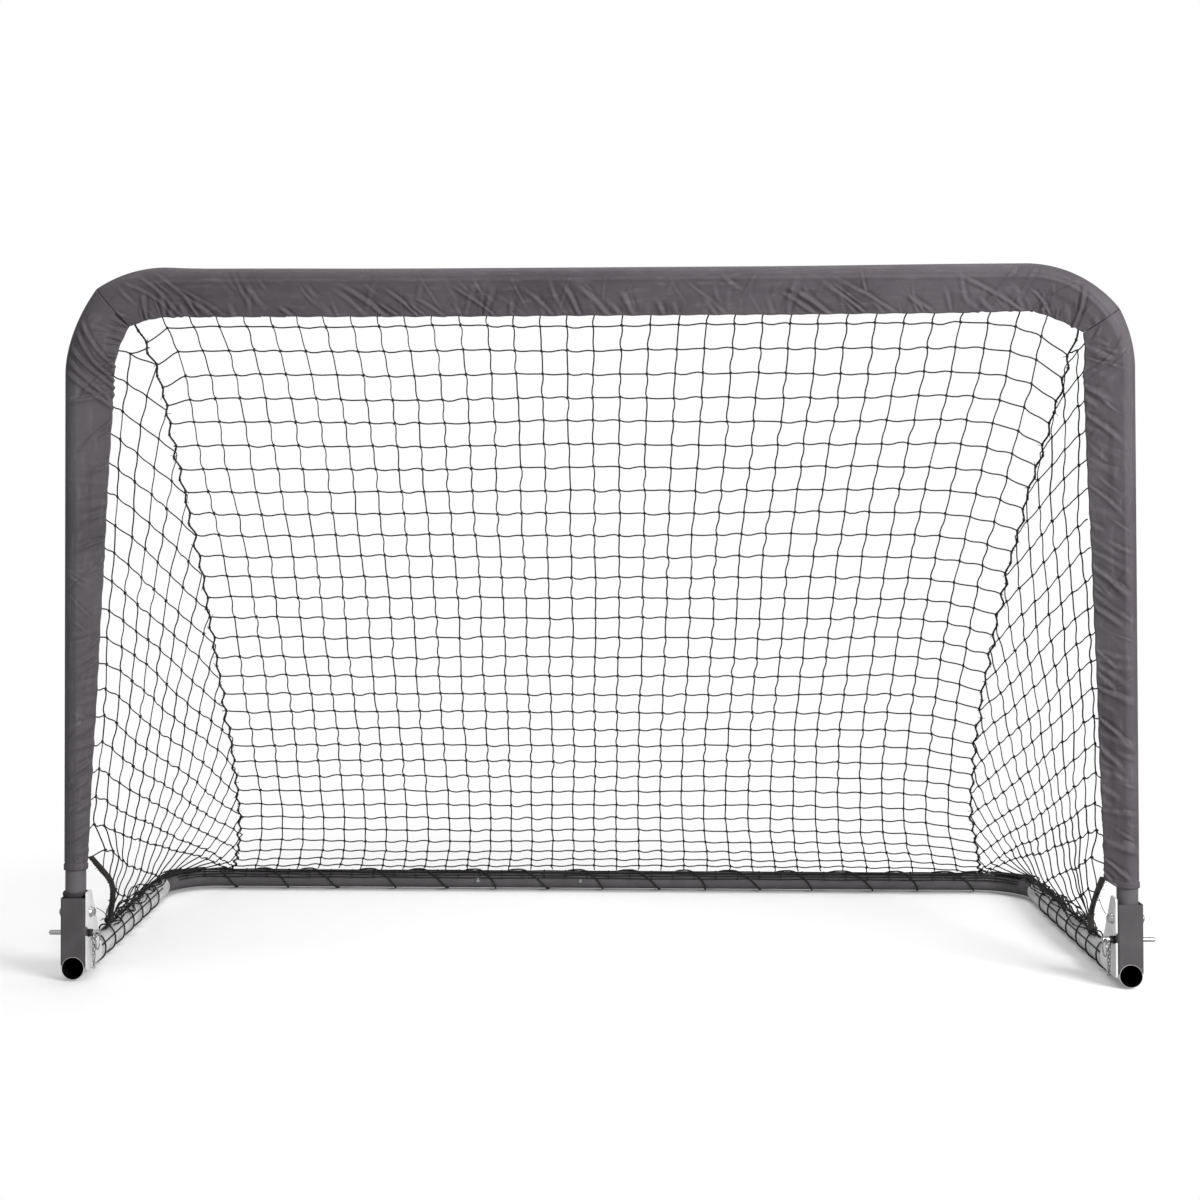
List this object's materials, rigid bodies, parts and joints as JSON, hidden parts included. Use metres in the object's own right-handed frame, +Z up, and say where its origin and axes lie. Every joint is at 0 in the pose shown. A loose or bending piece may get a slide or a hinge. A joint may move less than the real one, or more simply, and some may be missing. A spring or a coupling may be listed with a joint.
{
  "type": "folding soccer goal",
  "caption": "Folding soccer goal: a sleeved steel arch hinged on a flat U-shaped base with a slanting laced net, held upright by pull-ring locking pins.",
  "frame": {"origin": "on the floor under the middle of the goal's outline, halfway between the front of the sleeves and the back of the rear bar", "axes": "+X to the right of a player who looks into the goal, +Y from the mouth to the rear bar, +Z up"},
  "size_m": [1.848, 0.8002, 1.2],
  "materials": {
    "powder_coat": "satin dark grey powder coat",
    "zinc": "bright zinc plating",
    "steel_dark": "satin dark grey powder coat",
    "sleeve_fabric": "woven polyester, dark grey",
    "net_cord": "black knotted twine and cord",
    "black_plastic": "moulded"
  },
  "bodies": {
    "base": {"left_side_tube": "zinc", "right_side_tube": "zinc", "left_hinge_plate": "zinc", "right_hinge_plate": "zinc", "left_rear_tube": "powder_coat", "right_rear_tube": "powder_coat", "rear_joint_spigot": "zinc", "left_rear_screw": "zinc", "right_rear_screw": "zinc", "left_lacing": "net_cord", "right_lacing": "net_cord", "back_net": "net_cord", "left_side_net": "net_cord", "right_side_net": "net_cord", "left_seam_cord": "net_cord", "right_seam_cord": "net_cord"},
    "arch": {"left_post_tube": "steel_dark", "right_post_tube": "steel_dark", "crossbar_tube": "steel_dark", "left_joint_spigot": "zinc", "right_joint_spigot": "zinc", "left_foot_box": "powder_coat", "right_foot_box": "powder_coat", "left_bolt_washer": "black_plastic", "right_bolt_washer": "black_plastic", "left_hinge_bolt": "zinc", "right_hinge_bolt": "zinc", "left_hinge_nut": "zinc", "right_hinge_nut": "zinc", "left_pin_bush": "black_plastic", "right_pin_bush": "black_plastic", "left_post_sleeve": "sleeve_fabric", "right_post_sleeve": "sleeve_fabric", "crossbar_sleeve": "sleeve_fabric", "left_hem_band": "sleeve_fabric", "left_keeper_chain": "zinc", "right_keeper_chain": "zinc"},
    "left_pin": {"left_lock_pin": "zinc"},
    "right_pin": {"right_lock_pin": "zinc"},
    "left_ring": {"left_pull_ring": "zinc"},
    "right_ring": {"right_pull_ring": "zinc"}
  },
  "joints": [
    {"name": "arch_hinge", "type": "hinge", "parent": "base", "child": "arch", "pos_m": [0, -0.37946, 0.113], "axis": [-1, 0, 0], "range_deg": [0, 90]},
    {"name": "left_pin_slide", "type": "slide", "parent": "arch", "child": "left_pin", "axis": [1, 0, 0], "range_m": [0, 0.075], "deforming": ["left_keeper_chain"]},
    {"name": "right_pin_slide", "type": "slide", "parent": "arch", "child": "right_pin", "axis": [-1, 0, 0], "range_m": [0, 0.075], "deforming": ["right_keeper_chain"]},
    {"name": "left_ring_swing", "type": "hinge", "parent": "left_pin", "child": "left_ring", "pos_m": [-0.8408, -0.37946, 0.078], "axis": [0, -1, 0], "range_deg": [0, 75]},
    {"name": "right_ring_swing", "type": "hinge", "parent": "right_pin", "child": "right_ring", "pos_m": [0.8408, -0.37946, 0.078], "axis": [0, 1, 0], "range_deg": [0, 75]}
  ]
}
